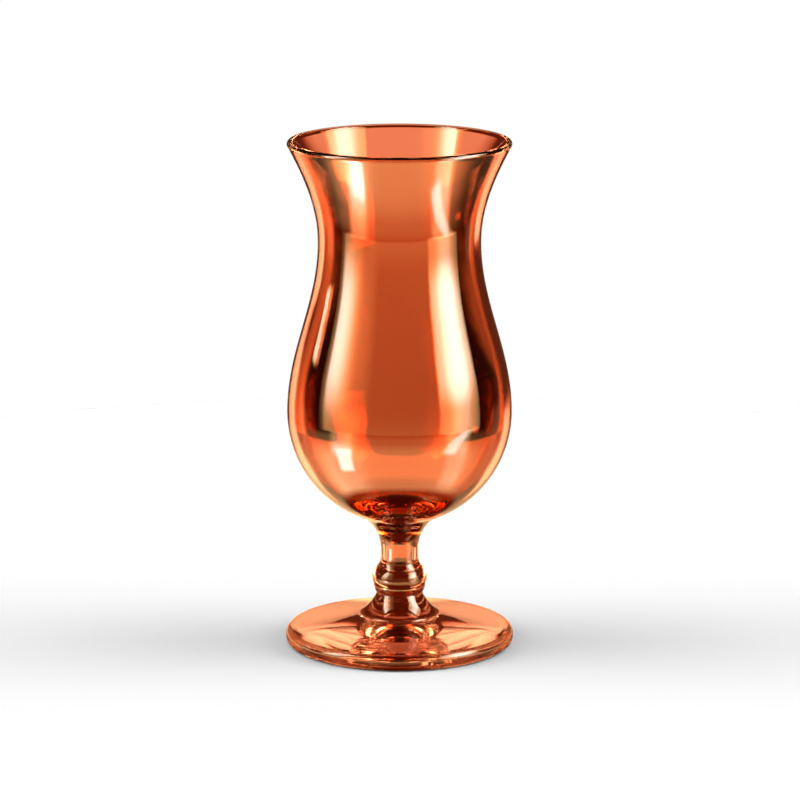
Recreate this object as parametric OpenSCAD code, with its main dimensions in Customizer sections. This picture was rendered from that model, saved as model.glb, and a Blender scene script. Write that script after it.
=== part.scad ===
// Stemmed goblet with an hourglass bowl, moulded in clear copper-tinted plastic.
// The bowl, the stem and the foot are three mouldings. A spigot under the bowl and one
// on top of the foot go into sockets in the stem, where a sleeve of cured bond holds
// each of them. The flat shoulders beside the sockets set the height.
// Sizes are in millimetres, +Z is up, and the origin is the middle of the resting plane.

/* [Foot] */
// Diameter of the foot
foot_d = 81; // [74:0.5:92]
// Height of the foot's outer edge
foot_edge_h = 5.7; // [5:0.1:7]
// Rounding of the foot's outer edge, above and below
foot_edge_round = 2.4; // [1:0.1:2.5]
// Rise of the foot's cone from its edge to the stem
foot_rise = 4.15; // [3:0.05:8]
// Width of the flat ring that the foot rests on
rest_w = 2.4; // [1.5:0.1:5]
// Rise of the shallow hollow under the foot, from the resting ring to the axis
hollow_rise = 2.2; // [0.8:0.1:4]

/* [Stem] */
// Diameter of the skirt where the stem stands on the foot
skirt_d = 28.4; // [24:0.2:34]
// Height of the skirt's rounded edge
skirt_edge_h = 1.3; // [0.8:0.1:2]
// Height of the skirt from its edge up to the tie
skirt_h = 7.05; // [5:0.05:10]
// Radius of the skirt's hollow sweep
skirt_sweep = 17.5; // [9:0.5:40]
// Diameter of the tie, the narrow place between skirt and ring
tie_d = 16.1; // [14.5:0.1:17.5]
// Height of the ring under the knop
ring_h = 2.95; // [2:0.05:4]
// Diameter of the ring at its top
ring_d = 18.3; // [17.6:0.1:18.6]
// Radius of the ring's bulge
ring_round = 4; // [2.6:0.1:8]
// Depth of the groove between ring and knop
groove_depth = 0.35; // [0.2:0.05:0.6]
// Width of the groove between ring and knop
groove_w = 0.4; // [0.2:0.05:0.8]
// Diameter of the knop
knop_d = 19.5; // [18.8:0.1:22]
// Radius of the knop's round section
knop_round = 5.1; // [4.2:0.1:6]
// Drop from the widest part of the knop to the groove
knop_drop = 2.05; // [1:0.05:3]
// Radius of the hollow between knop and neck
shoulder_round = 5.5; // [3:0.1:9]
// Diameter of the neck
neck_d = 13.4; // [12.4:0.1:15]
// Length of the straight part of the neck
neck_h = 3.3; // [1:0.1:12]
// Height of the collar that flares from the neck to the bowl
collar_h = 12.1; // [9:0.1:18]
// Diameter of the collar where it carries the bowl
collar_d = 27.5; // [22:0.5:34]

/* [Bowl] */
// Wall of the bowl
wall = 2.3; // [1.6:0.1:3]
// Outside diameter of the belly
belly_d = 79.3; // [72:0.1:90]
// Radius of the belly's round underside
belly_under = 40.4; // [36:0.2:46]
// Height from the belly up to the waist
body_h = 60.9; // [50:0.1:75]
// Outside diameter of the waist
waist_d = 57.2; // [50:0.1:64]
// Height from the waist up to the start of the rounded lip
flare_h = 34; // [24:0.1:45]
// Outside diameter of the mouth at the start of the rounded lip
mouth_d = 78.3; // [70:0.1:90]
// Thickness of the bowl's flat floor
floor_t = 4.4; // [3:0.1:7]
// Rounding between the floor and the wall, inside
floor_round = 3; // [1:0.1:6]

/* [Bonded joints] */
// Thickness of the bond around each spigot
bond_t = 0.2; // [0.1:0.05:0.4]
// Diameter of the spigot under the bowl
bowl_spigot_d = 8.6; // [7:0.1:9.4]
// Length of the spigot under the bowl
bowl_spigot_h = 9.7; // [6:0.1:13]
// Height of the hollow left in the neck below that spigot
neck_void_h = 7.5; // [2:0.1:9]
// Diameter of the spigot on the foot
foot_spigot_d = 10; // [7:0.1:12]
// Height of the spigot on the foot
foot_spigot_h = 6; // [3:0.1:8]
// Room left above that spigot
foot_spigot_room = 0.6; // [0.2:0.1:1.5]
// Chamfer that leads each spigot into its socket
lead_in = 0.6; // [0.2:0.1:1.2]

/* [Hidden] */

// Steps along one round stretch of an outline, and round the axis
arc_steps = 16;
turn_steps = 120;

// Tints of the moulded plastic and of the cured bond
copper = [0.86, 0.42, 0.22, 0.6];
amber = [0.95, 0.72, 0.50, 0.6];

// Radii
foot_r = foot_d / 2;
skirt_r = skirt_d / 2;
tie_r = tie_d / 2;
ring_r = ring_d / 2;
knop_r = knop_d / 2;
neck_r = neck_d / 2;
collar_r = collar_d / 2;
belly_r = belly_d / 2;
waist_r = waist_d / 2;
mouth_r = mouth_d / 2;
bowl_spigot_r = bowl_spigot_d / 2;
foot_spigot_r = foot_spigot_d / 2;
upper_socket_r = bowl_spigot_r + bond_t;
lower_socket_r = foot_spigot_r + bond_t;

// Heights, from the resting plane upwards
hub_z = foot_edge_h + foot_rise;
skirt_top_z = hub_z + skirt_edge_h;
tie_z = skirt_top_z + skirt_h;
ring_top_z = tie_z + ring_h;
knop_low_z = ring_top_z + groove_w;
knop_z = knop_low_z + knop_drop;
knop_centre_r = knop_r - knop_round;
shoulder_centre_r = neck_r + shoulder_round;
shoulder_rise = sqrt(pow(knop_round + shoulder_round, 2) - pow(shoulder_centre_r - knop_centre_r, 2));
shoulder_z = knop_z + shoulder_rise;
neck_top_z = shoulder_z + neck_h;
seat_z = neck_top_z + collar_h;
under_centre_r = belly_r - belly_under;
belly_z = seat_z + sqrt(pow(belly_under, 2) - pow(collar_r - under_centre_r, 2));
waist_z = belly_z + body_h;
lip_z = waist_z + flare_h;
floor_z = seat_z + floor_t;
bowl_spigot_z = seat_z - bowl_spigot_h;

// Points of an arc about a centre, from one angle to another
function arc(centre, r, from, to) =
    [for (i = [0:arc_steps])
        let (a = from + (to - from) * i / arc_steps)
        centre + r * [cos(a), sin(a)]];

// Points of an arc of radius r from p to q. Walked upwards, a positive side bulges
// away from the axis and a negative side is hollow.
function bend(p, q, r, side) =
    let (
        half = (q - p) / 2,
        left = [-half.y, half.x] / norm(half),
        centre = p + half + side * left * sqrt(r * r - half * half),
        from = atan2(p.y - centre.y, p.x - centre.x)
    )
    arc(centre, r, from, from + side * 2 * asin(norm(half) / r));

// Radius of an arc that leaves p along the axis and bends out through q
function flare_radius(p, q) = (q - p) * (q - p) / (2 * (q.x - p.x));

// A solid of revolution about Z from its half outline
module lathe(outline) {
    rotate_extrude($fn = turn_steps)
        polygon(outline);
}

// A sleeve of cured bond round a spigot
module bond_sleeve(spigot_r, z, h) {
    rotate_extrude($fn = turn_steps)
        translate([spigot_r, z])
            square([bond_t, h]);
}

// Foot: a low cone with a rounded edge, a resting ring round a shallow hollow, and a
// spigot for the stem. The rounding of the edge runs on until it meets the cone's slope.
module foot() {
    foot_top_r = foot_r - foot_edge_round;
    rest_inner_r = foot_top_r - rest_w;
    cone_a = atan2(foot_rise, foot_top_r - skirt_r);
    spigot_top_z = hub_z + foot_spigot_h;
    color(copper)
        lathe(concat(
            [[0, hollow_rise]],
            [[rest_inner_r, 0]],
            arc([foot_top_r, foot_edge_round], foot_edge_round, -90, 0),
            arc([foot_top_r, foot_edge_h - foot_edge_round], foot_edge_round, 0, 90 - cone_a),
            [[skirt_r, hub_z]],
            [[foot_spigot_r, hub_z]],
            [[foot_spigot_r, spigot_top_z - lead_in]],
            [[foot_spigot_r - lead_in, spigot_top_z]],
            [[0, spigot_top_z]]
        ));
}

// Bond between the foot's spigot and the stem
module lower_bond() {
    color(amber)
        bond_sleeve(foot_spigot_r, hub_z, foot_spigot_h - lead_in);
}

// Stem: skirt, tie, ring, knop, neck and collar, with a socket in each end
module stem() {
    skirt_edge = skirt_edge_h / 2;
    skirt_top = [skirt_r - skirt_edge, skirt_top_z];
    tie = [tie_r, tie_z];
    ring_top = [ring_r, ring_top_z];
    knop_centre = [knop_centre_r, knop_z];
    knop_low_a = -asin(knop_drop / knop_round);
    knop_low_r = knop_centre_r + knop_round * cos(knop_low_a);
    knop_high_a = atan2(shoulder_rise, shoulder_centre_r - knop_centre_r);
    groove = [min(ring_r, knop_low_r) - groove_depth, ring_top_z + groove_w / 2];
    shoulder_centre = [shoulder_centre_r, shoulder_z];
    neck_top = [neck_r, neck_top_z];
    seat = [collar_r, seat_z];
    color(copper)
        lathe(concat(
            [[0, hub_z + foot_spigot_h + foot_spigot_room]],
            [[lower_socket_r, hub_z + foot_spigot_h + foot_spigot_room]],
            [[lower_socket_r, hub_z]],
            arc([skirt_r - skirt_edge, hub_z + skirt_edge], skirt_edge, -90, 90),
            bend(skirt_top, tie, skirt_sweep, -1),
            bend(tie, ring_top, ring_round, 1),
            [groove],
            arc(knop_centre, knop_round, knop_low_a, knop_high_a),
            arc(shoulder_centre, shoulder_round, 180 + knop_high_a, 180),
            bend(neck_top, seat, flare_radius(neck_top, seat), -1),
            [[upper_socket_r, seat_z]],
            [[upper_socket_r, bowl_spigot_z - neck_void_h]],
            [[0, bowl_spigot_z - neck_void_h]]
        ));
}

// Bond between the bowl's spigot and the stem
module upper_bond() {
    color(amber)
        bond_sleeve(bowl_spigot_r, bowl_spigot_z + lead_in, bowl_spigot_h - lead_in);
}

// Bowl: a half wave from belly to waist, then a hyperbola that flares to the mouth
mid_r = (belly_r + waist_r) / 2;
swing_r = (belly_r - waist_r) / 2;
flare_rate = flare_h / sqrt(pow(mouth_r / waist_r, 2) - 1);

function wave_a(z) = 180 * (z - belly_z) / body_h;
function side_r(z) = z < waist_z
    ? mid_r + swing_r * cos(wave_a(z))
    : waist_r * sqrt(1 + pow((z - waist_z) / flare_rate, 2));

// Lean of the side from upright, in degrees, positive where it opens upwards
function side_lean(z) = z < waist_z
    ? -atan(swing_r * PI / body_h * sin(wave_a(z)))
    : atan(pow(waist_r / flare_rate, 2) * (z - waist_z) / side_r(z));

// A point at a depth below the outer skin, measured square to it
function skin(z, depth) = [side_r(z), z] - depth * [cos(side_lean(z)), -sin(side_lean(z))];

// Levels of the side from belly to lip
side_z = concat(
    [for (i = [1:arc_steps]) belly_z + body_h * i / arc_steps],
    [for (i = [1:arc_steps]) waist_z + flare_h * i / arc_steps]
);

module bowl() {
    under_centre = [under_centre_r, belly_z];
    seat_a = atan2(seat_z - belly_z, collar_r - under_centre_r);
    inner_r = belly_under - wall;
    round_z = floor_z + floor_round;
    round_r = under_centre_r + sqrt(pow(inner_r - floor_round, 2) - pow(belly_z - round_z, 2));
    round_a = atan2(round_z - belly_z, round_r - under_centre_r);
    lip_a = side_lean(lip_z);
    levels = len(side_z) - 1;
    color(copper)
        lathe(concat(
            [[0, bowl_spigot_z]],
            [[bowl_spigot_r - lead_in, bowl_spigot_z]],
            [[bowl_spigot_r, bowl_spigot_z + lead_in]],
            [[bowl_spigot_r, seat_z]],
            arc(under_centre, belly_under, seat_a, 0),
            [for (z = side_z) skin(z, 0)],
            arc(skin(lip_z, wall / 2), wall / 2, -lip_a, 180 - lip_a),
            [for (i = [levels - 1:-1:0]) skin(side_z[i], wall)],
            arc(under_centre, inner_r, 0, round_a),
            arc([round_r, round_z], floor_round, round_a, -90),
            [[0, floor_z]]
        ));
}

foot();
lower_bond();
stem();
upper_bond();
bowl();
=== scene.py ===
# %% [markdown]
# # A copper-tinted goblet
# The goblet is three clear mouldings: a bowl, a stem and a foot. Two sleeves of cured
# bond hold them together. The solid model gives the frame, and this lesson dresses
# it. Every mesh below is drawn at its true place, in metres, so nothing needs moving.

# %% Load the frame
import math

import bpy
import numpy as np
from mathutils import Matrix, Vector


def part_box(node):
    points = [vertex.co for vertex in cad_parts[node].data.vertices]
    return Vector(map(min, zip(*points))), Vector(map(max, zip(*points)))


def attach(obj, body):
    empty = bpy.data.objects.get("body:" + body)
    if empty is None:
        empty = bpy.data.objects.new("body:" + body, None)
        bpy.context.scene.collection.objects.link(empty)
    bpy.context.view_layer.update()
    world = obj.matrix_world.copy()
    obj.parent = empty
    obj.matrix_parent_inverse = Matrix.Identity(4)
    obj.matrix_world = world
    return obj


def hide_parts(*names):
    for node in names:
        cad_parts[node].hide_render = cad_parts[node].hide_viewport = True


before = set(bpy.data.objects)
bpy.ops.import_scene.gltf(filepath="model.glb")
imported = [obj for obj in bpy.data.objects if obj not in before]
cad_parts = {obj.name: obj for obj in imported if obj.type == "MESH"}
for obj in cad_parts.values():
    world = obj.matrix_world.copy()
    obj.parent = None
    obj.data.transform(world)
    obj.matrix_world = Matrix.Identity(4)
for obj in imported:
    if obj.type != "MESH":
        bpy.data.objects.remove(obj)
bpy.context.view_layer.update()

MM = 0.001

# %% [markdown]
# ## The camera
# A long lens far away keeps the rim and the foot nearly parallel, as in a catalogue
# picture. The camera stands in front (-Y), a little above the rim, and looks down far
# enough to show the inside of the mouth. A square picture 36 mm wide sets the scale.

# %% Camera
CAMERA_DISTANCE = 1.390
CAMERA_HEIGHT = 0.3996
CAMERA_PITCH = math.radians(12.633)
FOCAL_LENGTH = 181.57
AXIS_SHIFT = 0.0006

lens = bpy.data.cameras.new("camera")
lens.lens = FOCAL_LENGTH
lens.sensor_width = 36.0
lens.shift_x = AXIS_SHIFT
camera = bpy.data.objects.new("camera", lens)
camera.location = (0.0, -CAMERA_DISTANCE, CAMERA_HEIGHT)
camera.rotation_euler = (math.pi / 2 - CAMERA_PITCH, 0.0, 0.0)
bpy.context.scene.collection.objects.link(camera)
bpy.context.scene.camera = camera
print("camera at", tuple(round(v, 3) for v in camera.location))

# %% [markdown]
# ## Outlines from arcs
# A turned piece is known by its half outline, a row of (radius, height) points. Most of
# that row is round, so two helpers draw arcs: one from a centre and two angles, one from
# two end points and a radius. A third fills straight runs with points, because smooth
# shading bends a face that is much longer than its neighbours.

# %% Outline helpers
ARC_STEPS = 28


def arc(centre, radius, start, end, steps=ARC_STEPS):
    """Points at centre + radius * (cos a, sin a), with a going evenly from start to end, in radians."""
    a = np.linspace(start, end, steps + 1)
    return np.asarray(centre) + radius * np.stack([np.cos(a), np.sin(a)], axis=1)


def bend(p, q, radius, side, steps=ARC_STEPS):
    """The arc of that radius from p to q. Its centre lies on the line that halves pq at a right angle.
    Walked upwards, side +1 bulges away from the axis and side -1 is hollow."""
    p = np.asarray(p)
    q = np.asarray(q)
    half = (q - p) / 2
    length = np.hypot(*half)
    left = np.array([-half[1], half[0]]) / length
    centre = p + half + side * left * math.sqrt(radius**2 - length**2)
    start = math.atan2(*(p - centre)[::-1])
    return arc(centre, radius, start, start + side * 2 * math.asin(length / radius), steps)


def straight(p, q, steps=8):
    """Points spaced evenly on the line from p to q."""
    return np.linspace(p, q, steps + 1)


print("outline helpers: arc, bend, straight")

# %% [markdown]
# ## Turning an outline into a mesh
# A lathe carries the outline once round the Z axis. With numpy the whole surface is one
# product: radii times the cosine and sine of every turn. The two end points lie on the
# axis, so each becomes a single pole with a fan of triangles, and the skin is closed.
# Each stretch of the outline carries the number of its finish, because the faces inside
# a bonded joint look different from the polished ones.

# %% Lathe
POLISHED = 0
BONDED = 1
SHARP_ANGLE = math.radians(32)


def turned(name, stretches, turns=192):
    """Vertices (r cos t, r sin t, z) for every outline point and every turn t, with one pole at each end.
    stretches is a list of (points, finish), walked from the lower pole to the upper one."""
    points = np.concatenate([np.atleast_2d(p) for p, _ in stretches])
    finish = np.concatenate([np.full(len(np.atleast_2d(p)), f) for p, f in stretches])
    new = np.r_[True, np.hypot(*np.diff(points, axis=0).T) > 1e-9]
    points = points[new]
    finish = finish[new]
    ring = points[1:-1]
    rows = len(ring)
    t = np.arange(turns) * (2 * np.pi / turns)
    grid = np.stack([np.outer(ring[:, 0], np.cos(t)), np.outer(ring[:, 0], np.sin(t)),
                     np.repeat(ring[:, 1:], turns, axis=1)], axis=2).reshape(-1, 3)
    poles = [[0.0, 0.0, points[0, 1]], [0.0, 0.0, points[-1, 1]]]
    here = np.arange(turns)
    after = (here + 1) % turns
    base = np.arange(rows - 1)[:, None] * turns
    quads = np.stack([base + here, base + after, base + turns + after, base + turns + here], axis=2)
    low = rows * turns
    high = low + 1
    top = (rows - 1) * turns
    bottom_fan = np.stack([np.full(turns, low), after, here], axis=1)
    top_fan = np.stack([np.full(turns, high), top + here, top + after], axis=1)
    faces = [*bottom_fan.tolist(), *quads.reshape(-1, 4).tolist(), *top_fan.tolist()]
    mesh = bpy.data.meshes.new(name)
    mesh.from_pydata(np.concatenate([grid, poles]).tolist(), [], faces)
    mesh.polygons.foreach_set("material_index", np.repeat(finish[1:], turns).astype(np.int32))
    mesh.polygons.foreach_set("use_smooth", np.ones(len(faces), bool))
    mesh.set_sharp_from_angle(angle=SHARP_ANGLE)
    piece = bpy.data.objects.new(name, mesh)
    bpy.context.scene.collection.objects.link(piece)
    print(f"{name}: {len(mesh.vertices)} points, {len(mesh.polygons)} faces")
    return piece


# %% [markdown]
# ## Heights shared by the pieces
# The bowl and the stem meet on a flat ring, and so do the stem and the foot. Those levels
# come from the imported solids. The clear bond fills the joints, so light runs straight
# through them. A hair of room keeps two faces from lying in the same place.

# %% Levels and joints
foot_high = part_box("foot")[1]
stem_low, stem_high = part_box("stem")
bowl_low, bowl_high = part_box("bowl")

HAIR = 0.02 * MM
BOND = 0.2 * MM
LEAD_IN = 0.6 * MM
hub_z = stem_low.z
seat_z = stem_high.z
foot_r = foot_high.x
skirt_r = stem_high.x
belly_r = bowl_high.x
bowl_spigot_r = 4.3 * MM
foot_spigot_r = 5.0 * MM
print(f"hub at {hub_z:.4f}, seat at {seat_z:.4f}, top at {bowl_high.z:.4f}")

# %% [markdown]
# ## The foot
# The foot is a low cone with a rounded edge and a shallow hollow below. It stands on a
# narrow flat ring, and its spigot goes up into the stem. The edge rounding runs on until it
# meets the slope of the cone without a crease, because a crease in clear plastic draws a
# hard line of light.

# %% Foot
FOOT_EDGE_H = 5.7 * MM
FOOT_EDGE_ROUND = 2.4 * MM
REST_W = 2.4 * MM
HOLLOW_RISE = 2.2 * MM

foot_top_r = foot_r - FOOT_EDGE_ROUND
cone_slope = math.atan2(hub_z - FOOT_EDGE_H, foot_top_r - skirt_r)
rest_inner_r = foot_top_r - REST_W
edge_low = arc((foot_top_r, FOOT_EDGE_ROUND), FOOT_EDGE_ROUND, -math.pi / 2, 0)
edge_high = arc((foot_top_r, FOOT_EDGE_H - FOOT_EDGE_ROUND), FOOT_EDGE_ROUND, 0, math.pi / 2 - cone_slope)

foot = turned("foot_moulding", [
    (straight((0.0, HOLLOW_RISE), (rest_inner_r, 0.0), 32), POLISHED),
    (straight((rest_inner_r, 0.0), (foot_top_r, 0.0), 4), POLISHED),
    (edge_low, POLISHED),
    (edge_high, POLISHED),
    (straight(edge_high[-1], (skirt_r, hub_z), 24), POLISHED),
    (straight((skirt_r, hub_z), (foot_spigot_r, hub_z)), BONDED),
    (straight((foot_spigot_r, hub_z), (foot_spigot_r, foot_high.z - LEAD_IN), 4), BONDED),
    ((foot_spigot_r - LEAD_IN, foot_high.z), BONDED),
    ((0.0, foot_high.z), BONDED),
])

# %% [markdown]
# ## The stem
# From the foot upwards the stem is a skirt with a rounded edge, a narrow tie, a ring, a
# groove, a round knop, a neck and a collar that opens out to carry the bowl. Knop and
# hollow are two circles that touch, which is how a turner would cut them. The upper
# socket is deeper than the bowl's spigot, and the hollow that is left shows as a pale
# band in the neck.

# %% Stem
SKIRT_EDGE = 0.65 * MM
SKIRT_H = 7.05 * MM
SKIRT_SWEEP = 17.5 * MM
TIE_R = 8.05 * MM
RING_H = 2.95 * MM
RING_R = 9.15 * MM
RING_ROUND = 4.0 * MM
GROOVE_W = 0.4 * MM
GROOVE_DEPTH = 0.35 * MM
KNOP_R = 9.75 * MM
KNOP_ROUND = 5.1 * MM
KNOP_DROP = 2.05 * MM
SHOULDER_ROUND = 5.5 * MM
NECK_R = 6.7 * MM
COLLAR_H = 12.1 * MM
COLLAR_R = 13.75 * MM
NECK_VOID_H = 7.5 * MM
SPIGOT_ROOM = 0.6 * MM

skirt_top = (skirt_r - SKIRT_EDGE, hub_z + 2 * SKIRT_EDGE)
tie = (TIE_R, skirt_top[1] + SKIRT_H)
ring_top = (RING_R, tie[1] + RING_H)
knop_z = ring_top[1] + GROOVE_W + KNOP_DROP
knop_centre = (KNOP_R - KNOP_ROUND, knop_z)
knop_low_a = -math.asin(KNOP_DROP / KNOP_ROUND)
knop_low_r = knop_centre[0] + KNOP_ROUND * math.cos(knop_low_a)
groove = (min(RING_R, knop_low_r) - GROOVE_DEPTH, ring_top[1] + GROOVE_W / 2)
shoulder_run = NECK_R + SHOULDER_ROUND - knop_centre[0]
shoulder_rise = math.sqrt((KNOP_ROUND + SHOULDER_ROUND) ** 2 - shoulder_run**2)
shoulder_centre = (NECK_R + SHOULDER_ROUND, knop_z + shoulder_rise)
knop_high_a = math.atan2(shoulder_rise, shoulder_run)
neck_top = (NECK_R, seat_z - COLLAR_H)
seat = (COLLAR_R, seat_z - HAIR)
collar_round = ((COLLAR_R - NECK_R) ** 2 + (seat[1] - neck_top[1]) ** 2) / (2 * (COLLAR_R - NECK_R))
lower_socket_r = foot_spigot_r + BOND
lower_socket_z = foot_high.z + SPIGOT_ROOM
upper_socket_r = bowl_spigot_r + BOND
void_low_z = bowl_low.z - NECK_VOID_H

stem = turned("stem_moulding", [
    (straight((0.0, lower_socket_z), (lower_socket_r, lower_socket_z), 4), BONDED),
    (straight((lower_socket_r, lower_socket_z), (lower_socket_r, hub_z + HAIR), 4), BONDED),
    (straight((lower_socket_r, hub_z + HAIR), (skirt_r - SKIRT_EDGE, hub_z + HAIR)), BONDED),
    (arc((skirt_r - SKIRT_EDGE, hub_z + SKIRT_EDGE), SKIRT_EDGE, -math.pi / 2, math.pi / 2), POLISHED),
    (bend(skirt_top, tie, SKIRT_SWEEP, -1), POLISHED),
    (bend(tie, ring_top, RING_ROUND, 1, 16), POLISHED),
    (groove, POLISHED),
    (arc(knop_centre, KNOP_ROUND, knop_low_a, knop_high_a), POLISHED),
    (arc(shoulder_centre, SHOULDER_ROUND, math.pi + knop_high_a, math.pi), POLISHED),
    (straight((NECK_R, shoulder_centre[1]), neck_top), POLISHED),
    (bend(neck_top, seat, collar_round, -1), POLISHED),
    (straight(seat, (upper_socket_r, seat[1])), BONDED),
    (straight((upper_socket_r, seat[1]), (upper_socket_r, bowl_low.z + LEAD_IN)), BONDED),
    (straight((upper_socket_r, bowl_low.z + LEAD_IN), (upper_socket_r, void_low_z)), POLISHED),
    (straight((upper_socket_r, void_low_z), (0.0, void_low_z), 4), POLISHED),
])

# %% [markdown]
# ## The bowl
# The side of the bowl is a half wave from belly to waist and then a hyperbola that flares
# to the mouth. Both are level with the axis at the waist, so they join smoothly. The
# inner skin is the outer one moved in by the wall, square to the surface, and a half
# circle joins them at the lip. Below, the wall thickens into a flat floor.

# %% Bowl outline
WALL = 2.3 * MM
BELLY_UNDER = 40.4 * MM
BODY_H = 60.9 * MM
WAIST_R = 28.6 * MM
FLARE_H = 34.0 * MM
MOUTH_R = 39.15 * MM
FLOOR_T = 4.4 * MM
FLOOR_ROUND = 3.0 * MM

under_centre_r = belly_r - BELLY_UNDER
belly_z = seat_z + math.sqrt(BELLY_UNDER**2 - (COLLAR_R - under_centre_r) ** 2)
waist_z = belly_z + BODY_H
lip_z = waist_z + FLARE_H
floor_z = seat_z + FLOOR_T
mid_r = (belly_r + WAIST_R) / 2
swing_r = (belly_r - WAIST_R) / 2
flare_rate = FLARE_H / math.sqrt((MOUTH_R / WAIST_R) ** 2 - 1)


def side_lean(z):
    """Lean of the bowl's side from upright at height z: the slope of the half wave below the waist,
    and of the hyperbola above it."""
    wave = np.pi * (z - belly_z) / BODY_H
    flare = WAIST_R * np.sqrt(1 + ((z - waist_z) / flare_rate) ** 2)
    below = -np.arctan(swing_r * np.pi / BODY_H * np.sin(wave))
    above = np.arctan((WAIST_R / flare_rate) ** 2 * (z - waist_z) / flare)
    return np.where(z < waist_z, below, above)


def skin(z, depth):
    """Points of the side at heights z, moved in by depth along the surface's own normal."""
    wave = mid_r + swing_r * np.cos(np.pi * (z - belly_z) / BODY_H)
    flare = WAIST_R * np.sqrt(1 + ((z - waist_z) / flare_rate) ** 2)
    lean = side_lean(z)
    r = np.where(z < waist_z, wave, flare)
    return np.stack([r - depth * np.cos(lean), z + depth * np.sin(lean)], axis=-1)


print(f"belly at {belly_z:.4f}, waist at {waist_z:.4f}, lip from {lip_z:.4f}")

# %% [markdown]
# ## Turning the bowl
# The outline starts at the tip of the spigot, goes out along the seat and up the outside,
# turns over the lip, and comes down the inside to the middle of the floor. It is one closed
# skin, so a ray that enters the wall always leaves it again.

# %% Bowl
side_z = np.r_[np.linspace(belly_z, waist_z, 64), np.linspace(waist_z, lip_z, 44)[1:]]
under_centre = (under_centre_r, belly_z)
seat_a = math.atan2(seat_z - belly_z, COLLAR_R - under_centre_r)
inner_r = BELLY_UNDER - WALL
round_z = floor_z + FLOOR_ROUND
round_r = under_centre_r + math.sqrt((inner_r - FLOOR_ROUND) ** 2 - (belly_z - round_z) ** 2)
round_a = math.atan2(round_z - belly_z, round_r - under_centre_r)
lip_lean = float(side_lean(np.array(lip_z)))
lip_centre = skin(np.array(lip_z), WALL / 2)

bowl = turned("bowl_moulding", [
    (straight((0.0, bowl_low.z), (bowl_spigot_r - LEAD_IN, bowl_low.z), 4), POLISHED),
    ((bowl_spigot_r, bowl_low.z + LEAD_IN), POLISHED),
    (straight((bowl_spigot_r, bowl_low.z + LEAD_IN), (bowl_spigot_r, seat_z)), BONDED),
    (straight((bowl_spigot_r, seat_z), (COLLAR_R, seat_z)), BONDED),
    (arc(under_centre, BELLY_UNDER, seat_a, 0, 56), POLISHED),
    (skin(side_z, 0.0), POLISHED),
    (arc(lip_centre, WALL / 2, -lip_lean, math.pi - lip_lean, 20), POLISHED),
    (skin(side_z, WALL)[::-1], POLISHED),
    (arc(under_centre, inner_r, 0, round_a, 56), POLISHED),
    (arc((round_r, round_z), FLOOR_ROUND, round_a, -math.pi / 2, 16), POLISHED),
    (straight((round_r, floor_z), (0.0, floor_z), 12), POLISHED),
])

# %% [markdown]
# ## The bond sleeves
# The cured bond is a thin sleeve round each spigot. It is turned like the rest, a hair
# thinner than its gap on both sides. Its outline is a closed ring that never reaches the
# axis, so it is swept as a tube of four corners instead of between two poles.

# %% Bond sleeves


def sleeve(name, inner_r, outer_r, low_z, high_z, turns=96):
    """A tube: four corners (r, z) carried round the axis, each side joining two neighbouring corners."""
    corners = np.array([[inner_r, low_z], [outer_r, low_z], [outer_r, high_z], [inner_r, high_z]])
    t = np.arange(turns) * (2 * np.pi / turns)
    grid = np.stack([np.outer(corners[:, 0], np.cos(t)), np.outer(corners[:, 0], np.sin(t)),
                     np.repeat(corners[:, 1:], turns, axis=1)], axis=2).reshape(-1, 3)
    here = np.arange(turns)
    after = (here + 1) % turns
    side = np.arange(4)[:, None]
    row = side * turns
    up = (side + 1) % 4 * turns
    quads = np.stack([row + here, row + after, up + after, up + here], axis=2).reshape(-1, 4)
    mesh = bpy.data.meshes.new(name)
    mesh.from_pydata(grid.tolist(), [], quads.tolist())
    mesh.polygons.foreach_set("use_smooth", np.ones(len(quads), bool))
    mesh.set_sharp_from_angle(angle=SHARP_ANGLE)
    piece = bpy.data.objects.new(name, mesh)
    bpy.context.scene.collection.objects.link(piece)
    print(f"{name}: {len(quads)} faces")
    return piece


lower_low, lower_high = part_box("lower_bond")
upper_low, upper_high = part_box("upper_bond")
lower_bond = sleeve("lower_bond_sleeve", foot_spigot_r + HAIR, lower_high.x - HAIR,
                    lower_low.z + 2 * HAIR, lower_high.z)
upper_bond = sleeve("upper_bond_sleeve", bowl_spigot_r + HAIR, upper_high.x - HAIR,
                    upper_low.z, upper_high.z - 2 * HAIR)

# %% [markdown]
# ## Wires for shader maths
# A shader is a sum written in boxes. This small class wraps a socket, so that the sum can
# be written as one: a plus sign on two wires adds a Math node. Every other node comes
# from `add`, which sets what the node does first and then fills or links its sockets.
# Soft steps do most of the drawing below: one step is an edge, and two make a band.

# %% Wires


def set_stops(ramp, stops):
    """A grey level at each angle. A ramp runs from 0 to 1, so the angles, in degrees, are divided by 180."""
    ramp.remove(ramp[1])
    for degrees, level in stops[1:]:
        ramp.new(degrees / 180).color = (level, level, level, 1.0)
    ramp[0].position = stops[0][0] / 180
    ramp[0].color = (stops[0][1], stops[0][1], stops[0][1], 1.0)


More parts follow.
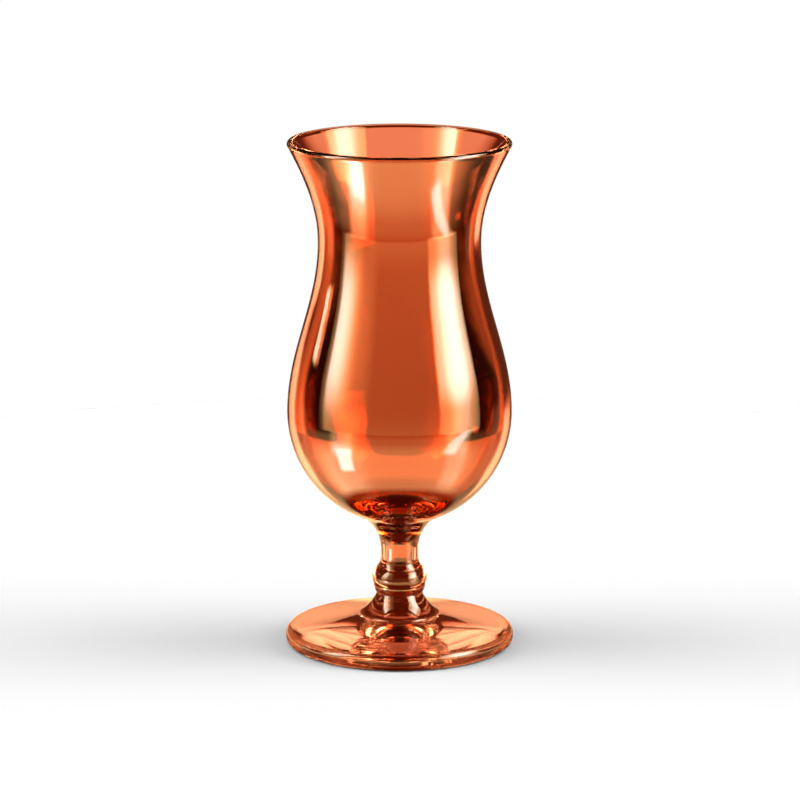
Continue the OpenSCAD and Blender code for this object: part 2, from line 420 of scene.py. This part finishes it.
class Wire:
    """A socket of a node tree. Operators on wires and numbers add Math nodes to that tree."""

    def __init__(self, tree, socket=None):
        self.tree = tree
        self.socket = socket

    def add(self, kind, settings=None, sockets=None):
        """Adds a node of that kind, with its settings, then a value or a wire for each of its sockets."""
        node = self.tree.nodes.new("ShaderNode" + kind)
        for name, value in (settings or {}).items():
            if name == "stops":
                set_stops(node.color_ramp.elements, value)
            else:
                setattr(node, name, value)
        for name, value in (sockets or {}).items():
            if isinstance(value, Wire):
                self.tree.links.new(value.socket, node.inputs[name])
            else:
                node.inputs[name].default_value = value
        return Wire(self.tree, node.outputs[0] if node.outputs else None)

    def __getitem__(self, name):
        """Another output of the node that this wire comes from."""
        return Wire(self.tree, self.socket.node.outputs[name])

    def math(self, operation, *values):
        """A Math node that does the operation on the values, in that order."""
        return self.add("Math", {"operation": operation}, dict(enumerate(values)))

    def __add__(self, other):
        return self.math("ADD", self, other)

    def __radd__(self, other):
        return self.math("ADD", other, self)

    def __sub__(self, other):
        return self.math("SUBTRACT", self, other)

    def __rsub__(self, other):
        return self.math("SUBTRACT", other, self)

    def __mul__(self, other):
        return self.math("MULTIPLY", self, other)

    def __rmul__(self, other):
        return self.math("MULTIPLY", other, self)

    def smooth(self, low, high):
        """0 below low and 1 above high, with a soft step between them. high may be the smaller one."""
        return self.add("MapRange", {"interpolation_type": "SMOOTHSTEP"},
                        {"Value": self, "From Min": low, "From Max": high})

    def band(self, begin, full, fade, end):
        """1 from full to fade, and 0 before begin and after end, with a soft step on each side."""
        return self.smooth(begin, full) * self.smooth(end, fade)

    def mix(self, first, second):
        """The colour first where this wire is 0 and second where it is 1."""
        return self.add("Mix", {"data_type": "RGBA"}, {0: self, 6: first, 7: second})["Result"]

    def scale(self, colour):
        """The colour on another wire, made brighter or darker by this wire."""
        return self.add("VectorMath", {"operation": "SCALE"}, {0: colour, "Scale": self})


def empty_tree(owner):
    """The cleared node tree of a material or world, as a wire that has no socket yet."""
    owner.use_nodes = True
    owner.node_tree.nodes.clear()
    return Wire(owner.node_tree)


print("wires ready")

# %% [markdown]
# ## Tinted plastic
# The plastic is dyed all through, but thinly, so what counts is how many walls a ray has
# crossed. The shader tints a ray by the root of its colour on the way in, and again on the
# way out. Two places are thick, the edge of the foot and the base of the bowl, and there the
# tint is deeper. That deeper tint is partly the thicker plastic and partly painted shade, for
# the dark look that bent light gives those two places. Moulded plastic is never quite even,
# so a slow noise moves the tint and the polish a little, and a faint bump stands for the
# ripple of the mould. Mirrored light is warmed too, because part of it comes back from just
# below the skin.

# %% Tinted plastic
TINT_DEEP = (0.920, 0.305, 0.135, 1.0)
TINT_PALE = (0.930, 0.325, 0.147, 1.0)
# deeper tint of the thick places: partly thicker plastic, partly painted shade
TINT_THICK_AND_SHADE = (0.50, 0.092, 0.021, 1.0)
LUSTRE = (1.0, 0.80, 0.62, 1.0)
IOR = 1.5
EDGE_SHARE = 0.6
EDGE_INSET = (3.0 * MM, 1.8 * MM)
EDGE_TOP = (8.0 * MM, 7.0 * MM)
BASE_HEIGHTS = (seat_z, seat_z + 1.0 * MM, floor_z + 0.8 * MM, floor_z + 3.0 * MM)


def thick_and_shaded_places(start, place):
    """1 at the base of the bowl, by height, and a share of that at the edge of the foot, by distance out.
    There the deeper tint is partly thicker plastic and partly painted shade.
    """
    height = start.add("SeparateXYZ", None, {0: place})["Z"]
    flat = start.add("VectorMath", {"operation": "MULTIPLY"}, {0: place, 1: (1.0, 1.0, 0.0)})
    out = start.add("VectorMath", {"operation": "LENGTH"}, {0: flat})["Value"]
    foot_edge = out.smooth(foot_r - EDGE_INSET[0], foot_r - EDGE_INSET[1]) * height.smooth(*EDGE_TOP)
    return EDGE_SHARE * foot_edge + height.band(*BASE_HEIGHTS)


def tinted_plastic():
    """Clear plastic whose tint and polish drift with a slow noise, under a faint ripple."""
    material = bpy.data.materials.new("tinted_plastic")
    start = empty_tree(material)
    place = start.add("TexCoord")["Object"]
    drift = start.add("TexNoise", None, {"Vector": place, "Scale": 38.0, "Detail": 2.0})
    ripple = start.add("TexNoise", None, {"Vector": place, "Scale": 90.0, "Detail": 1.0})
    bump = start.add("Bump", None, {"Height": ripple, "Strength": 0.02, "Distance": 0.001})
    thin = drift.smooth(0.3, 0.7).mix(TINT_DEEP, TINT_PALE)
    shader = start.add("BsdfPrincipled", None, {
        # the base of the bowl and the edge of the foot get the deeper tint, partly painted shade
        "Base Color": thick_and_shaded_places(start, place).mix(thin, TINT_THICK_AND_SHADE),
        "Roughness": 0.012 + 0.02 * drift,
        "Normal": bump,
        "Transmission Weight": 1.0,
        "Specular Tint": LUSTRE,
        "IOR": IOR,
    })
    start.add("OutputMaterial", None, {"Surface": shader})
    return material


plastic = tinted_plastic()
print("made", plastic.name)

# %% [markdown]
# ## Bonded faces and cured bond
# Where a spigot sits in its socket, clear bond wets both faces. It bends light as the
# plastic does, so such faces vanish, as a wet stone loses its grey skin. They get a shader
# with no cover of its own. The sleeve between them keeps a trace of amber.

# %% Bond materials
AMBER_DARK = (0.92, 0.60, 0.34, 1.0)
AMBER_PALE = (0.97, 0.78, 0.55, 1.0)


def bonded_face():
    """A face that lets everything through unbent, because the bond behind it matches the plastic."""
    material = bpy.data.materials.new("bonded_face")
    start = empty_tree(material)
    shader = start.add("BsdfPrincipled", None, {"Base Color": TINT_PALE, "Alpha": 0.0})
    start.add("OutputMaterial", None, {"Surface": shader})
    return material


def cured_bond():
    """A trace of amber with tiny streaks, where the bond was wiped round as the joint was turned home."""
    material = bpy.data.materials.new("cured_bond")
    start = empty_tree(material)
    place = start.add("TexCoord")["Object"]
    streak = start.add("TexNoise", None, {"Vector": place, "Scale": 400.0, "Detail": 3.0})
    shader = start.add("BsdfPrincipled", None, {
        "Base Color": streak.mix(AMBER_DARK, AMBER_PALE),
        "Roughness": 0.15 + 0.2 * streak,
        "Alpha": 0.04 + 0.06 * streak,
        "IOR": IOR,
    })
    start.add("OutputMaterial", None, {"Surface": shader})
    return material


joint_face = bonded_face()
amber = cured_bond()
print("made", joint_face.name, "and", amber.name)

# %% [markdown]
# ## Pieces onto the frame
# Each mesh rides on the goblet's one body, stands for its solid and names the finish it
# takes. The mouldings have two material slots, one for polished and one for bonded faces.

# %% Dress and mount
mouldings = {"foot": foot, "stem": stem, "bowl": bowl}
sleeves = {"lower_bond": lower_bond, "upper_bond": upper_bond}
for node, piece in mouldings.items():
    piece.data.materials.append(plastic)
    piece.data.materials.append(joint_face)
for node, piece in sleeves.items():
    piece.data.materials.append(amber)
for node, piece in {**mouldings, **sleeves}.items():
    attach(piece, "root")
    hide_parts(node)
print("pieces:", [piece.name for piece in {**mouldings, **sleeves}.values()])

# %% [markdown]
# ## What a ray has met
# Clear things have no light of their own: they show what stands round them. A studio sets
# each card and cloth for one part of the glass. Here the light path does that. It counts the
# faces that a ray has crossed: none is a mirror image on the front, up to three a solid piece
# or a single wall, and four or more both walls of the bowl. It also counts how often a ray was
# mirrored on its way, which tells the parts of a solid piece from each other.

# %% Face count
WHITE = (1.0, 1.0, 1.0, 1.0)
WARM = (1.0, 0.62, 0.29, 1.0)
RED_CLOTH = (1.0, 0.16, 0.035, 1.0)


def face_count(start):
    """Switches for a ray from the plastic: any such ray, mirror image, solid piece, walls, mirrored at all.
    The last three tell whether it was mirrored just once, three times, or more often than that."""
    path = start.add("LightPath")
    faces = path["Transmission Depth"]
    plastic_ray = start.math("MAXIMUM", path["Is Glossy Ray"], path["Is Transmission Ray"])
    walls = start.math("GREATER_THAN", faces, 3.5)
    solid = start.math("GREATER_THAN", faces, 0.5) * (1 - walls)
    front = path["Is Glossy Ray"] * start.math("LESS_THAN", faces, 0.5)
    mirrors = path["Glossy Depth"]
    bounced = start.math("MINIMUM", mirrors, 1.0) * plastic_ray
    once = start.math("COMPARE", mirrors, 1.0, 0.5)
    thrice = start.math("COMPARE", mirrors, 3.0, 0.5)
    often = start.math("GREATER_THAN", mirrors, 3.5)
    return plastic_ray, front, solid, walls, bounced, once, thrice, often


def bearing(start, across, ahead):
    """The angle in degrees whose tangent is across / ahead, from -180 to 180."""
    return start.math("DEGREES", start.math("ARCTAN2", across, ahead))


print("rays are told apart by faces crossed and mirrors met")

# %% [markdown]
# ## The table in mirror images
# The lower half of the bowl mirrors the table in front of it. The table is brighter near the
# goblet and carries a wide card on each side of the camera. A small bright spot on the left
# card and a slanted band on the right one draw the two lower highlights. Angles are counted
# from the camera, in degrees, and distances from the axis, in metres.

# %% Mirrored table
FLOOR_R = 0.40
TABLE_LEVEL = 1.7
NEAR_LEVEL = 4.6
NEAR_OUT = (0.26, 0.13)
FOOT_OUT = (0.045, 0.060)
FAR_OUT = (FLOOR_R, 0.27)
TABLE_TURN = (98.0, 66.0)
CARD_TURN = (42.0, 52.0, 66.0, 76.0)
CARD_LIGHT = 15.0
SPOT_TURN = (46.0, 52.0, 61.0, 68.0)
SPOT_OUT = (0.090, 0.105, 0.165, 0.200)
BAND_TURN = (21.0, 29.0, 35.0, 43.0)
BAND_SLANT = 105
BAND_OUT = (0.148, 0.168)


def mirrored_table(start, spot, out):
    """Light by angle and distance: a plain table that fades to the sides, with cards, spot and band on it."""
    turn = bearing(start, spot["X"], -1 * spot["Y"])
    aside = start.math("ABSOLUTE", turn)
    right = turn.smooth(-1.0, 1.0)
    left = 1 - right
    reach = 0.2 + 0.8 * (aside - 9 * left).smooth(*TABLE_TURN)
    plain = (TABLE_LEVEL + NEAR_LEVEL * out.smooth(*NEAR_OUT)) * (1 + 0.5 * left * aside.smooth(25.0, 50.0))
    plain = plain * reach * out.smooth(*FOOT_OUT) * out.smooth(*FAR_OUT)
    card = aside.band(*CARD_TURN)
    card_left = card * (6.0 + 3.0 * out.smooth(0.29, 0.18)) * out.smooth(0.130, 0.180)
    card_right = card * (4.0 + 4.0 * out.smooth(0.12, 0.20)) * out.smooth(0.04, 0.08)
    spot_left = aside.band(*SPOT_TURN) * out.band(*SPOT_OUT)
    band_right = (aside - BAND_SLANT * out).band(*BAND_TURN) * out.smooth(*BAND_OUT)
    left_light = card_left + CARD_LIGHT * spot_left
    right_light = card_right + 0.6 * CARD_LIGHT * band_right
    return plain + left_light * left + right_light * right


print("mirrored table reaches", FLOOR_R, "m")

# %% [markdown]
# ## The table
# A round white table carries the goblet, and the camera sees its soft shadow there. Through
# both walls it shows a lit sheet behind the goblet, dark near the foot. Through a solid piece
# it shows red cloth round a bright ring below the foot, and is plain white where one looks
# steeply down through a single wall. Rays that were mirrored inside a solid piece pass it and
# go on to the room, so that the room alone lights them.

# %% Table
SHEET_R = 0.262
SHEET_MORE = 0.026
SHEET_LEVEL = 0.95
SHEET_DIM = 0.10
SHEET_OUT = (0.050, 0.066)
CLOTH_DIM = 0.10
RING_LEVEL = 1.9
RING_OUT = (0.013, 0.022, 0.044, 0.050)
OPEN_LEVEL = 0.7
OPEN_OUT = (0.055, 0.075)
STEEP = (0.40, 0.60)


def table_top():
    """White paint for the camera and the room's light, and plain light of three kinds for the plastic."""
    material = bpy.data.materials.new("table_top")
    start = empty_tree(material)
    plastic_ray, front, solid, walls, bounced = face_count(start)[:5]
    place = start.add("TexCoord")["Object"]
    spot = start.add("SeparateXYZ", None, {0: place})
    out = start.add("VectorMath", {"operation": "LENGTH"}, {0: place})["Value"]
    aside = start.math("ABSOLUTE", bearing(start, spot["X"], spot["Y"]))
    sheet_r = SHEET_R + SHEET_MORE * aside.smooth(1.5, 7.0)
    clear_of_foot = (out - 0.07 * aside.smooth(14.0, 24.0)).smooth(*SHEET_OUT)
    sheet = SHEET_LEVEL * (SHEET_DIM + (1 - SHEET_DIM) * clear_of_foot * (1 - bounced))
    ring = out.band(*RING_OUT)
    steep = start.add("SeparateXYZ", None, {0: start.add("NewGeometry")["Incoming"]})["Z"]
    below = out.smooth(*OPEN_OUT) * steep.smooth(*STEEP) * (1 - bounced)
    mirror = mirrored_table(start, spot, out)
    warm = (front * mirror.smooth(20.0, 6.0)).mix(WHITE, WARM)
    tone = (solid * (1 - ring) * (1 - below)).mix(warm, RED_CLOTH)
    through = CLOTH_DIM + RING_LEVEL * ring + OPEN_LEVEL * below
    level = walls * sheet + solid * through + front * mirror
    glow = start.add("Emission", None, {"Color": level.scale(tone)})
    passed = start.math("GREATER_THAN", out, sheet_r) * walls + solid * bounced
    shown = start.add("MixShader", None, {0: passed, 1: glow, 2: start.add("BsdfTransparent")})
    paint = start.add("BsdfDiffuse", None, {"Color": WHITE})
    start.add("OutputMaterial", None,
              {"Surface": start.add("MixShader", None, {0: plastic_ray, 1: paint, 2: shown})})
    material.cycles.emission_sampling = "NONE"
    return material


edge = np.linspace(0, 2 * np.pi, 128, endpoint=False)
rim = np.stack([FLOOR_R * np.cos(edge), FLOOR_R * np.sin(edge), 0 * edge - HAIR], 1)
floor_mesh = bpy.data.meshes.new("floor")
floor_mesh.from_pydata(rim.tolist(), [], [list(range(len(edge)))])
floor_mesh.materials.append(table_top())
floor = bpy.data.objects.new("floor", floor_mesh)
bpy.context.scene.collection.objects.link(floor)
print("floor radius", FLOOR_R)

# %% [markdown]
# ## Two softboxes
# Two tall softboxes beside the camera draw the bright strips down the bowl. They stand
# near, so the strips fade where the bowl turns down to the dimmer foot of each box. A slit
# lamp further round on the left draws the narrow bright line near the edge. All are painted
# on one curved screen: a ramp sets each box's light by the angle from the camera, and a soft
# step dims it towards the table. Only mirrored rays see the screen.

# %% Softboxes
BOX_RIGHT = [(39, 0.0), (41, 0.40), (47, 0.48), (52, 0.66), (57, 0.90), (62, 1.0), (70, 0.97), (74, 0.80),
             (78, 0.55), (84, 0.42), (86.5, 0.0)]
BOX_LEFT = [(28, 0.0), (37, 0.08), (47, 0.15), (53, 0.30), (58, 0.55), (63, 0.76), (68, 0.92), (73, 1.0),
            (79, 0.97), (81.5, 0.30), (84, 0.15), (87, 0.0)]
SLIT_LIGHT = 13.0
SLIT_TURN = (0.560, 0.570, 0.598, 0.608)
SLIT_HEIGHT = (0.130, 0.142, 0.158, 0.170)


def softboxes():
    """Light by angle, in half turns, and by height, for mirrored rays. A clear sheet lets all others pass."""
    material = bpy.data.materials.new("softboxes")
    start = empty_tree(material)
    bounced = face_count(start)[4]
    spot = start.add("SeparateXYZ", None, {0: start.add("TexCoord")["Object"]})
    turn = bearing(start, spot["X"], -1 * spot["Y"])
    aside = start.math("ABSOLUTE", turn) * (1 / 180)
    right = turn.smooth(-1.0, 1.0)
    height = spot["Z"]
    narrow = 1 - 0.17 * height.smooth(0.20, 0.35)
    box_right = start.add("ValToRGB", {"stops": BOX_RIGHT}, {0: aside * narrow})
    box_left = start.add("ValToRGB", {"stops": BOX_LEFT}, {0: aside})
    level_right = (12.0 + 18.0 * height.smooth(0.07, 0.18)) * (1 - 0.35 * height.smooth(0.25, 0.45))
    level_left = 5.5 + 14.0 * height.smooth(0.0, 0.20)
    slit = SLIT_LIGHT * aside.band(*SLIT_TURN) * height.band(*SLIT_HEIGHT)
    level = box_right * level_right * right + (box_left * level_left + slit) * (1 - right)
    tone = level.smooth(6.0, 20.0).mix(WARM, WHITE)
    glow = start.add("Emission", None, {"Color": (level * bounced).scale(tone)})
    both = start.add("AddShader", None, {0: glow, 1: start.add("BsdfTransparent")})
    start.add("OutputMaterial", None, {"Surface": both})
    material.cycles.emission_sampling = "NONE"
    return material


print("softboxes of", len(BOX_LEFT), "and", len(BOX_RIGHT), "stops")

# %% [markdown]
# ## The screen
# The screen is part of a tube round the goblet, open at the back. It is one row of upright
# panes, from points on an arc and the same points higher up.

# %% Screen
SCREEN_R = 0.38
SCREEN_HALF = math.radians(115)
SCREEN_TOP = 0.62

sweep = np.linspace(-SCREEN_HALF, SCREEN_HALF, 97)
foot_line = np.stack([SCREEN_R * np.sin(sweep), -SCREEN_R * np.cos(sweep), 0 * sweep], 1)
corner = np.arange(len(sweep) - 1)
panes = np.stack([corner, corner + 1, corner + 1 + len(sweep), corner + len(sweep)], 1)
corners = np.concatenate([foot_line, foot_line + [0, 0, SCREEN_TOP]])
screen_mesh = bpy.data.meshes.new("screen")
screen_mesh.from_pydata(corners.tolist(), [], panes.tolist())
screen_mesh.materials.append(softboxes())
screen = bpy.data.objects.new("screen", screen_mesh)
bpy.context.scene.collection.objects.link(screen)
print("screen of", len(panes), "panes")

# %% [markdown]
# ## Light on the table
# The table is lit by a fan of light from left, right and above, with more of it from low at
# the sides, so the shadow spreads to both sides and stays short in front and behind. The open
# table has to stay white. A table's light is the mean of the sky over a flat disc, so the
# fan's share is that mean, and its strength follows from it.

# %% Fan of light
EVEN_LIGHT = 0.06
FAN_EDGES = (0.42, 0.08)

across_disc = np.linspace(-1, 1, 4001)
ease = np.clip((FAN_EDGES[0] - np.abs(across_disc)) / (FAN_EDGES[0] - FAN_EDGES[1]), 0, 1)
chord = np.sqrt(1 - across_disc**2)
fan_share = float(np.sum(ease * ease * (3 - 2 * ease) * chord * (1 + chord) / 2) / np.sum(chord))
FAN_LIGHT = (1 - EVEN_LIGHT) / fan_share
print(f"fan covers {fan_share:.3f} of the sky, strength {FAN_LIGHT:.2f}")

# %% [markdown]
# ## Behind both walls
# Through both walls stands a pale backdrop with a dark gap on each side, which draws the
# dark streaks near the edges, and pale cloth beyond. The gaps are less dark higher up, where
# the flare of the mouth looks through them. Further round, the room is plain and dim. Angles
# are counted from straight back, and rise is the height of the ray's direction, in degrees.

# %% Behind the walls
BACKDROP_HALF = 3.1
GAP_SOFT = 0.6
GAP_END = 9.5
GAP_END_SOFT = 1.5
GAP_MORE = 3.5
GAP_RISE = (-10.7, -9.5)
CLOTH_LEVEL = 2.2
SIDE_LEVEL = 0.5
REST_LEVEL = 0.004


def behind_walls(start, turn, rise):
    """Light behind both walls: backdrop, gap and cloth by the angle from straight back, and a dim room."""
    aside = start.math("ABSOLUTE", turn)
    right = turn.smooth(-1.0, 1.0)
    backdrop = 0.55 + 0.15 * rise.smooth(-12.3, -10.2) + 0.12 * rise.smooth(-14.3, -15.4)
    dark = 1 - 0.72 * rise.smooth(*GAP_RISE)
    gap = aside.smooth(BACKDROP_HALF - GAP_SOFT, BACKDROP_HALF + GAP_SOFT) * dark
    pale = (aside - GAP_MORE * right).smooth(GAP_END - GAP_END_SOFT, GAP_END + GAP_END_SOFT)
    cloth = CLOTH_LEVEL * (0.45 + 0.55 * rise.smooth(-8.0, -14.0)) * (aside + 12 * right).smooth(42.0, 32.0)
    light = (backdrop * (1 - gap) * (1 - pale) + cloth * pale) * rise.smooth(-5.8, -7.2)
    sides = SIDE_LEVEL * aside.smooth(48.0, 62.0) * rise.smooth(60.0, 50.0)
    return light * aside.smooth(95.0, 85.0) + sides + REST_LEVEL


print("backdrop", 2 * BACKDROP_HALF, "degrees wide")

# %% [markdown]
# ## Round the solid pieces
# Stem and foot are solid, and a ray may be mirrored inside them several times. Straight
# through, the room is red cloth with two small lamps and a backdrop for the far wall of the
# mouth. Rays mirrored once see pale cards low at the sides and a sill, which light the edges
# of the bowl and the foot. Rays mirrored three times see dim light above, and those mirrored
# more often see two panels, which light the slopes of the foot.

# %% Round the solids
RED_LEVEL = 0.12
LAMP_LEVEL = 2.0
LAMP_TURN = (16.0, 20.0, 29.0, 34.0)
LAMP_RISE = (-29.0, -25.0, -18.0, -15.0)
MOUTH_LEVEL = 0.92
MOUTH_TURN = (14.0, 10.0)
MOUTH_RISE = (-11.0, -9.5, -6.8, -5.3)
CARD_LEVEL = 2.3
LOW_CARD_TURN = (13.0, 19.0, 36.0, 46.0)
LOW_CARD_LOWER = (-36.0, -30.0)
LOW_CARD_UPPER = (-1.0, -5.0)
NECK_LEVEL = 0.9
NECK_TURN = (48.0, 54.0, 64.0, 70.0)
NECK_RISE = (-26.0, -20.0, -10.0, -6.0)
SILL_TURN = (6.0, 8.5, 15.0, 20.0)
SILL_RISE = (8.5, 10.0, 13.0, 16.0)
OVER_LEVEL = 0.45
OVER_TURN = (42.0, 30.0)
OVER_RISE = (14.0, 22.0, 45.0, 55.0)
PANEL_LEVEL = 2.5
PANEL_TURN = (16.0, 23.0, 53.0, 59.0)
PANEL_RISE = (-30.0, -26.0, 15.0, 22.0)
BACK_TURN = (95.0, 80.0)


def around_solids(start, turn, rise, bounced, once, thrice, often):
    """Light round a solid piece by angle and rise, and how white it is, for each count of mirrors.
    The angle is folded, so that left and right are alike, and front and back."""
    half = start.math("PINGPONG", turn, 90.0)
    right = turn.smooth(-1.0, 1.0)
    lamp = half.band(*LAMP_TURN) * rise.band(*LAMP_RISE)
    mouth = half.smooth(*MOUTH_TURN) * rise.band(*MOUTH_RISE)
    low = rise.smooth(*LOW_CARD_LOWER) * (rise + 8 * right).smooth(*LOW_CARD_UPPER)
    card = half.band(*LOW_CARD_TURN) * low
    neck = half.band(*NECK_TURN) * rise.band(*NECK_RISE)
    sill = half.band(*SILL_TURN) * rise.band(*SILL_RISE)
    over = half.smooth(*OVER_TURN) * rise.band(*OVER_RISE) * thrice
    back = start.math("ABSOLUTE", turn).smooth(*BACK_TURN)
    panel = half.band(*PANEL_TURN) * rise.band(*PANEL_RISE) * often * back
    ahead = 1 - bounced
    beside = once * back
    light = RED_LEVEL + (LAMP_LEVEL * lamp + MOUTH_LEVEL * mouth) * ahead
    light = light + (CARD_LEVEL * card + NECK_LEVEL * neck + PANEL_LEVEL * sill) * beside
    light = light + OVER_LEVEL * over + PANEL_LEVEL * panel
    white = (lamp + 0.6 * mouth) * ahead + (card + neck + sill) * beside + 0.3 * over + panel
    return light, white


print("lamps, cards, sill and panels set")

# %% [markdown]
# ## The room
# The world puts it all together. The camera sees plain white. The table gets the fan of
# light. A ray from the plastic gets what belongs to the faces it crossed: a dim room in
# mirror images, red cloth and cards round solid pieces, or the backdrop behind both walls.

# %% Room


def room():
    """Light by direction and by how the ray got there: camera, table, mirror image, solid piece or walls."""
    world = bpy.data.worlds.new("room")
    start = empty_tree(world)
    plastic_ray, front, solid, walls, bounced, once, thrice, often = face_count(start)
    way = start.add("SeparateXYZ", None, {0: start.add("TexCoord")["Generated"]})
    turn = bearing(start, way["X"], way["Y"])
    rise = start.math("DEGREES", start.math("ARCSINE", way["Z"]))
    ahead = start.math("PINGPONG", turn + 180, 180.0)
    behind = behind_walls(start, turn, rise) * (1 - 0.85 * bounced)
    around, white = around_solids(start, turn, rise, bounced, once, thrice, often)
    near_camera = 0.6 * rise.smooth(30.0, 18.0) + 1.3 * rise.smooth(1.0, -18.0)
    dim = near_camera * ahead.smooth(60.0, 30.0) + 0.01 + 0.06 * ahead.smooth(95.0, 125.0)
    shown = walls * behind + solid * around + front * dim
    low = 0.5 + start.math("ABSOLUTE", way["X"])
    fan = EVEN_LIGHT + FAN_LIGHT * low * start.math("ABSOLUTE", way["Y"]).smooth(*FAN_EDGES)
    plain = 1 + start.add("LightPath")["Is Diffuse Ray"] * (fan - 1)
    light = shown * plastic_ray + plain * (1 - plastic_ray)
    tone = (solid * (1 - white)).mix(front.mix(WHITE, WARM), RED_CLOTH)
    start.add("OutputWorld", None,
              {"Surface": start.add("Background", None, {"Color": light.scale(tone)})})
    return world


bpy.context.scene.world = room()
print("room ready")

# %% [markdown]
# ## Light paths
# A ray crosses the goblet's walls many times, so it is allowed more steps than usual.
# Caustics stay off, so the table's shadow is soft and grey. The Standard view transform
# shows each colour as it is written.

# %% Light paths and view
scene = bpy.context.scene
scene.view_settings.view_transform = "Standard"
scene.cycles.max_bounces = 64
scene.cycles.transmission_bounces = 48
scene.cycles.glossy_bounces = 48
scene.cycles.transparent_max_bounces = 24
scene.cycles.caustics_refractive = False
scene.cycles.caustics_reflective = False
print("view transform", scene.view_settings.view_transform)
